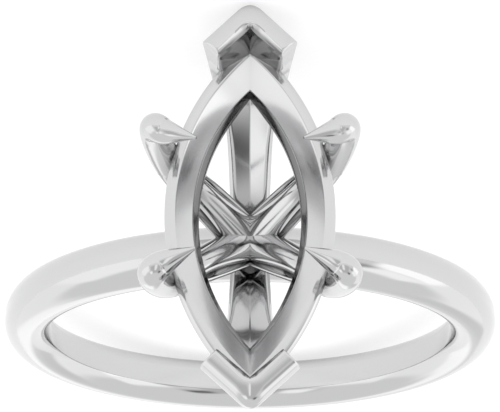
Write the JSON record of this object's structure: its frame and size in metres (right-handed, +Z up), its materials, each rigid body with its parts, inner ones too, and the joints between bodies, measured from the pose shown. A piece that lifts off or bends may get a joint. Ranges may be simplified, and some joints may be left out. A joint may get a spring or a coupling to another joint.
{
  "type": "marquise solitaire ring mounting",
  "caption": "Polished white metal finger ring with an open pointed-oval seat for a marquise stone, side claws and V-shaped end prongs, its stone not yet set.",
  "frame": {"origin": "middle of the ring's outline seen from above, on the surface that the ring lies on by itself", "axes": "+Z up from the surface; -Y towards the head and +Y towards the plain side of the band; the finger hole's axis leans about 15 degrees from +Z towards +Y; X across, and the ring is the same on both sides of X = 0"},
  "size_m": [0.021, 0.0278, 0.0153],
  "materials": {
    "polished_metal": "high polish white gold"
  },
  "bodies": {
    "root": {"ring_mounting": "polished_metal"}
  },
  "joints": []
}
